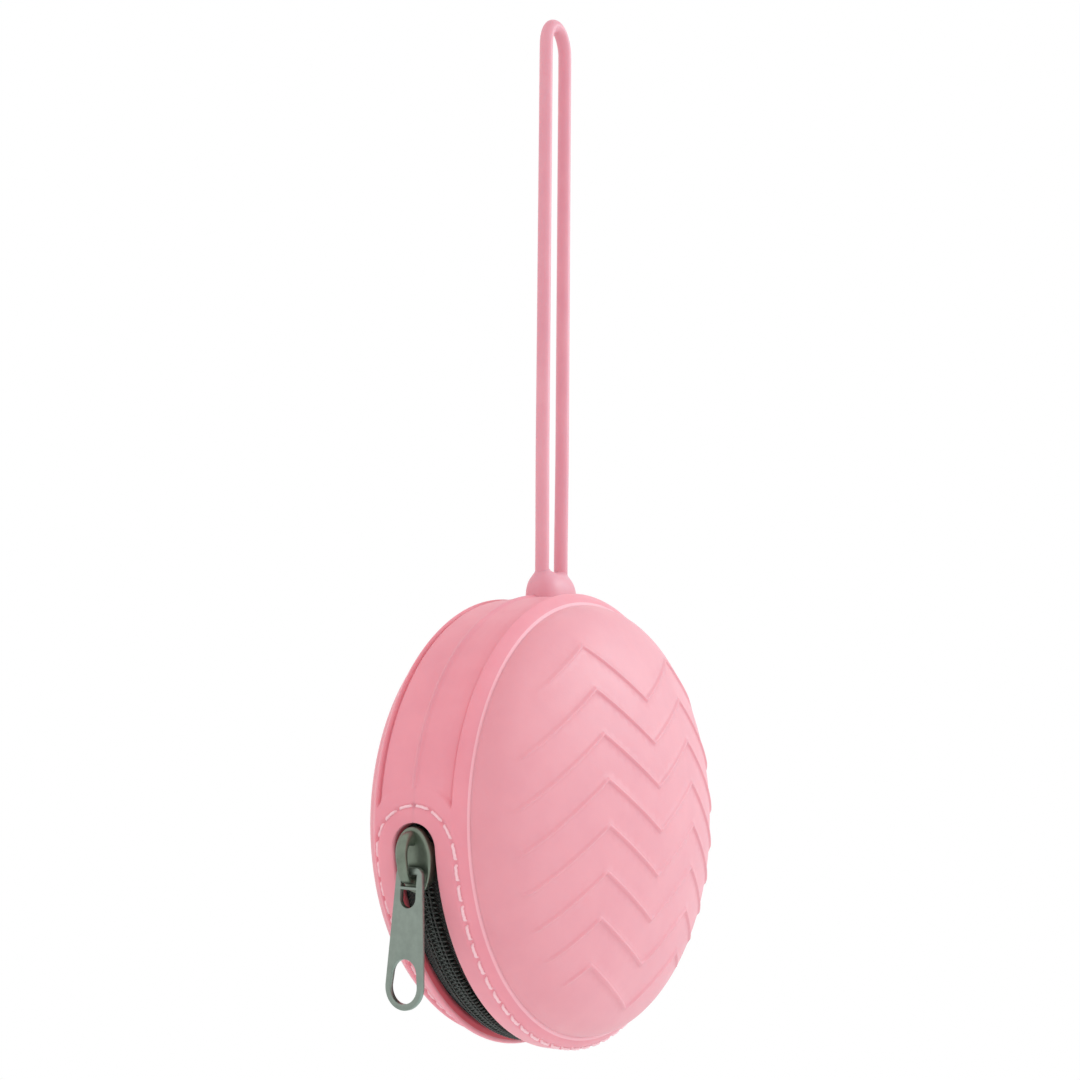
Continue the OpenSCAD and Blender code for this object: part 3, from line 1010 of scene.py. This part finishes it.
def plate(outside, inside, dish, skirt):
    """A closed plate with a dished face, round edges and a skirt down its sides.

    outside and inside are radii; skirt(y, z) is the radius where the edge ends at that place.
    """
    sides = 72
    out = 1 if outside > inside else -1
    rows = [(0.0, outside - out * dish), (0.35, outside - out * dish), (0.6, outside - out * dish * 0.85),
            (0.78, outside - out * dish * 0.4), (0.88, outside), (0.94, outside - out * 0.02),
            (0.975, outside - out * 0.12), (1.0, outside - out * 0.35)]
    points = []
    for share, radius in rows[1:]:
        for k in range(sides):
            y, z = egg(math.tau * k / sides)
            points.append(curved_point(radius, y * share, z * share))
    for inset, at_skirt in ((1.0, True), (0.72, True), (0.7, False), (0.35, False)):
        for k in range(sides):
            y, z = egg(math.tau * k / sides)
            radius = skirt(y, z) if at_skirt else inside
            if at_skirt and abs(radius - inside) < 0.05:
                radius = inside - out * 0.02 * inset
            points.append(curved_point(radius, y * inset, z * inset))
    count = len(points) // sides
    faces = ring_faces(count, sides)
    for ring, radius in ((0, outside - out * dish), (count - 1, inside)):
        centre = len(points)
        points.append(curved_point(radius, 0, 0))
        start = ring * sides
        faces += [(start + k, start + (k + 1) % sides, centre) for k in range(sides)]
    return points, faces


def top_skirt(y, z):
    """The top plate's sides come down to hold the coils, clear of its head and its tail opening."""
    beside = smooth_step((abs(y) - 2.0) / 0.5)
    below_head = smooth_step((3.2 - z) / 1.4)
    return mix(TOP_PLATE_IN, FLANGE_IN, beside * below_head)


def bridge_part():
    """The thick rounded arch that the pull tab hangs on."""
    line = [(39.9, 3.5), (41.0, 3.62), (41.9, 3.4), (42.55, 2.75), (42.95, 1.8), (43.05, 0.6),
            (43.05, -0.7), (42.95, -1.7), (42.5, -2.5), (41.8, -2.9), (41.0, -3.0), (39.9, -3.0)]
    half_thick = [1.25, 1.15, 0.95, 0.78, 0.66, 0.6, 0.56, 0.56, 0.56, 0.54, 0.54, 0.56]
    path = smooth_path([Vector((r, z, 0)) for r, z in line], 3)
    thick = smooth_path([Vector((t, 0, 0)) for t in half_thick], 3)
    centres = [slider_point(p.x, 0, p.y) for p in path]
    squareness = 0.72
    half_w = 0.95

    def section(i, a):
        c, s = math.cos(a), math.sin(a)
        across = half_w * signed_power(c, squareness)
        over = thick[i].x * signed_power(s, squareness)
        return across * MM, over * MM

    return tube(centres, section, 20)


def post_part():
    """The post between the two tapes, joining the plates at the slider's head."""
    sides = 24
    levels = (LOW_PLATE_OUT - 0.3, 37.6, 38.8, TOP_PLATE_IN + 0.3)
    points = []
    for radius in levels:
        for k in range(sides):
            a = math.tau * k / sides
            points.append(slider_point(radius, POST_HALF_W * math.cos(a), POST_Z + POST_HALF_L * math.sin(a)))
    return points, ring_faces(len(levels), sides) + end_caps(len(levels), sides)


def solid(name, parts, material):
    """Joins closed parts into one solid piece with Boolean unions."""
    pieces = [new_piece(f"{name}_{i}", *part, [material]) for i, part in enumerate(parts)]
    for tool in pieces[1:]:
        cut = pieces[0].modifiers.new("join", "BOOLEAN")
        cut.operation = "UNION"
        cut.solver = "EXACT"
        cut.object = tool
    view = bpy.context.evaluated_depsgraph_get()
    mesh = bpy.data.meshes.new_from_object(pieces[0].evaluated_get(view))
    for piece in pieces:
        bpy.data.objects.remove(piece)
    return add_object(name, mesh)


def shade_by_angle(piece, angle=50):
    """Smooth shading that keeps real corners sharp."""
    for polygon in piece.data.polygons:
        polygon.use_smooth = True
    piece.data.set_sharp_from_angle(angle=math.radians(angle))


def make_slider():
    """The slider's two plates, post and bridge, as one casting."""
    top = plate(TOP_PLATE_OUT, TOP_PLATE_IN, 0.06, top_skirt)
    low = plate(LOW_PLATE_IN, LOW_PLATE_OUT, 0.0, lambda y, z: LOW_PLATE_OUT)
    slider = solid("slider_cast", [top, low, post_part(), bridge_part()], SLIDER_METAL)
    shade_by_angle(slider)
    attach(slider, "slider")
    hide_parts("slider_body")


def arc(centre_x, centre_y, radius, start, end, count):
    """Points along an arc between two angles in degrees."""
    steps = [math.radians(mix(start, end, k / count)) for k in range(count + 1)]
    return [(centre_x + radius * math.cos(a), centre_y + radius * math.sin(a)) for a in steps]


def tab_outline():
    """The tab's edge, as (across, down the tab) points with the pivot at the origin."""
    r = TAB_W / 2
    top = TAB_TOP_W / 2
    corner = 1.3
    return (arc(0, -TAB_L + r, r, 180, 360, 32)
            + arc(top - corner, TAB_PIN_R - corner, corner, 8, 90, 8)
            + arc(-top + corner, TAB_PIN_R - corner, corner, 90, 172, 8))


def tab_holes():
    """The bridge's hole, the D-shaped hole under it and the long eye for the fingers."""
    half = TAB_HOLE_W / 2
    eye_r = EYE_W / 2
    eye_low = -TAB_L + EYE_RING + eye_r
    eye_high = eye_low + EYE_L - EYE_W
    bridge_hole = [(half, -TAB_PIN_R + 0.1), (-half, -TAB_PIN_R + 0.1)]
    bridge_hole += [(-half, -BRIDGE_HOLE_LOW), (half, -BRIDGE_HOLE_LOW)]
    d_hole = [(half, -D_HOLE_TOP), (-half, -D_HOLE_TOP)] + arc(0, -D_HOLE_MID, half, 180, 360, 16)
    eye = arc(0, eye_high, eye_r * 0.92, 0, 180, 20) + arc(0, eye_low, eye_r, 180, 360, 20)
    return [bridge_hole, d_hole, eye]


def inset(outline, distance):
    """An outline moved towards its own middle by a distance, or away from it if negative."""
    moved = []
    for i, (x, y) in enumerate(outline):
        before = Vector(outline[i - 1])
        after = Vector(outline[(i + 1) % len(outline)])
        here = Vector((x, y))
        across = ((here - before).normalized() + (after - here).normalized()).normalized()
        corner = max(across.dot((after - here).normalized()), 0.5)
        moved.append(here + Vector((-across.y, across.x)) * distance / corner)
    return moved


def tab_curve(chamfer):
    """The tab's outline and holes as a bevelled flat curve.

    The bevel grows the tab into its holes and past its edge, so the outline is drawn inside and the
    holes outside their true sizes.
    """
    curve = bpy.data.curves.new("tab", "CURVE")
    curve.dimensions = "2D"
    curve.fill_mode = "BOTH"
    curve.extrude = (TAB_T / 2 - chamfer) * MM
    curve.bevel_depth = chamfer * MM
    curve.bevel_resolution = 1
    for outline in [inset(tab_outline(), chamfer)] + [inset(hole, -chamfer) for hole in tab_holes()]:
        spline = curve.splines.new("POLY")
        spline.points.add(len(outline) - 1)
        for point, (x, y) in zip(spline.points, outline):
            point.co = (x * MM, y * MM, 0, 1)
        spline.use_cyclic_u = True
    return curve


def tab_plate():
    """The flat tab with chamfered edges, as a mesh in its own plane."""
    holder = add_object("tab_curve", tab_curve(TAB_CHAMFER))
    view = bpy.context.evaluated_depsgraph_get()
    mesh = bpy.data.meshes.new_from_object(holder.evaluated_get(view))
    bpy.data.objects.remove(holder)
    shape = bmesh.new()
    shape.from_mesh(mesh)
    bmesh.ops.remove_doubles(shape, verts=shape.verts, dist=0.002 * MM)
    bmesh.ops.recalc_face_normals(shape, faces=shape.faces)
    shape.to_mesh(mesh)
    shape.free()
    return mesh


def make_tab():
    """The pull tab hangs from its pivot in the rim's plane and leans a little to one side."""
    joint = next(j for j in frame["joints"] if j["name"] == "tab_swing")
    mesh = tab_plate()
    to_side = Matrix(((0, 0, 1), (1, 0, 0), (0, 1, 0))).to_4x4()
    lean = Matrix.Rotation(TAB_LEAN, 4, "X")
    place = Vector(joint["pos_m"]) - Vector((0, TAB_SHIFT * MM, 0))
    mesh.transform(Matrix.Translation(place) @ lean @ to_side)
    mesh.materials.clear()
    mesh.materials.append(TAB_METAL)
    tab = add_object("pull_tab_plate", mesh)
    shade_by_angle(tab, 30)
    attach(tab, "puller")
    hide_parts("pull_tab")


make_slider()
make_tab()


# ---------------------------------------------------------------- collar and anchor

def collar_outline(angle):
    """A point on the collar's outline seen from above: a soft oblong."""
    squareness = 2 / 2.7
    c, s = math.cos(angle), math.sin(angle)
    across = signed_power(c, squareness) * COLLAR_L / 2
    return across, signed_power(s, squareness) * COLLAR_W / 2


def leg_fillet(x, y):
    """How far the collar's top rises round the two strap legs."""
    nearest = min(math.hypot(x - side * STRAP_HALF_GAP, y) for side in (-1, 1))
    return 0.7 * math.exp(-max(nearest - STRAP_D / 2, 0.0) / 0.4)


def make_collar():
    """A block with straight sides and round shoulders that runs up into both strap legs."""
    sides = 96
    levels = 22
    roundness = 2.9
    shoulder_z = COLLAR_Z + 0.2
    dome_h = COLLAR_H - 1.2
    points = []
    for k in range(sides):
        x, y = collar_outline(math.tau * k / sides)
        points.append(frame_point(x, y, COLLAR_Z))
    for level in range(levels):
        lean = math.pi / 2 * level / levels
        share = math.cos(lean) ** (2 / roundness)
        lift = math.sin(lean) ** (2 / roundness)
        for k in range(sides):
            x, y = collar_outline(math.tau * k / sides)
            height = shoulder_z + dome_h * lift
            points.append(frame_point(x * share, y * share, height + leg_fillet(x * share, y * share) * lift))
    faces = ring_faces(levels + 1, sides)
    top, bottom = len(points), len(points) + 1
    points.append(frame_point(0, 0, COLLAR_Z + COLLAR_H - 1.0 + leg_fillet(0, 0)))
    points.append(frame_point(0, 0, COLLAR_Z))
    start = levels * sides
    faces += [(start + k, start + (k + 1) % sides, top) for k in range(sides)]
    faces += [((k + 1) % sides, k, bottom) for k in range(sides)]
    collar = new_piece("strap_collar_soft", points, faces, [STRAP_SILICONE])
    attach(collar, "purse")
    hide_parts("strap_collar")


def make_anchor():
    """The mushroom plug that holds the strap from inside the rim."""
    profile = [
        (2.3, 39.2), (2.3, 37.75), (2.7, 37.6), (4.1, 37.55), (4.4, 37.3), (4.35, 36.8), (3.6, 36.3),
        (1.8, 36.05),
    ]
    sides = 40
    points = []
    for radius, height in profile:
        for k in range(sides):
            a = math.tau * k / sides
            points.append(frame_point(radius * math.cos(a), radius * math.sin(a), height))
    faces = ring_faces(len(profile), sides) + end_caps(len(profile), sides)
    anchor = new_piece("strap_anchor_soft", points, faces, [STRAP_SILICONE])
    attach(anchor, "purse")
    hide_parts("strap_anchor")


make_collar()
make_anchor()


# ---------------------------------------------------------------- floor and light

def make_floor():
    """A pale round floor well below the hanging purse."""
    radius, depth, sides = 1.2, 0.42, 96
    points = [(radius * math.cos(math.tau * k / sides), radius * math.sin(math.tau * k / sides), -depth)
              for k in range(sides)]
    mesh = bpy.data.meshes.new("floor")
    mesh.from_pydata(points, [], [tuple(range(sides))])
    pale = new_material("floor_paint", (0.9, 0.9, 0.9, 1), 0.8)
    link(pale, ramp(pale, noise(pale, 30.0), (0.88, 0.88, 0.88, 1), (0.91, 0.91, 0.91, 1)), "Base Color")
    mesh.materials.append(pale)
    add_object("floor", mesh)


def add_light(name, place, target, size, power, tint):
    """A square soft light of size metres, turned to its target."""
    data = bpy.data.lights.new(name, "AREA")
    data.size = size
    data.energy = power
    data.color = tint
    light = add_object(name, data)
    light.location = place
    light.rotation_mode = "QUATERNION"
    light.rotation_quaternion = (Vector(target) - Vector(place)).to_track_quat("-Z", "Y")


def make_light():
    """A white surround, a cool light raking the front dome from the upper right, and a weak fill."""
    world = bpy.data.worlds.new("studio")
    world.use_nodes = True
    world.node_tree.nodes["Background"].inputs["Color"].default_value = (1, 1, 1, 1)
    world.node_tree.nodes["Background"].inputs["Strength"].default_value = 1.0
    bpy.context.scene.world = world
    centre = frame_point(0, 0, 0)
    add_light("key", centre + Vector((0.5, -0.5, 0.36)), centre, 0.3, 2.75, (0.58, 1.0, 1.0))
    add_light("fill", centre + Vector((-0.48, -0.28, -0.44)), centre, 0.5, 0.65, (1.0, 0.92, 0.94))
    bpy.context.scene.view_settings.view_transform = "Standard"


make_floor()
make_light()
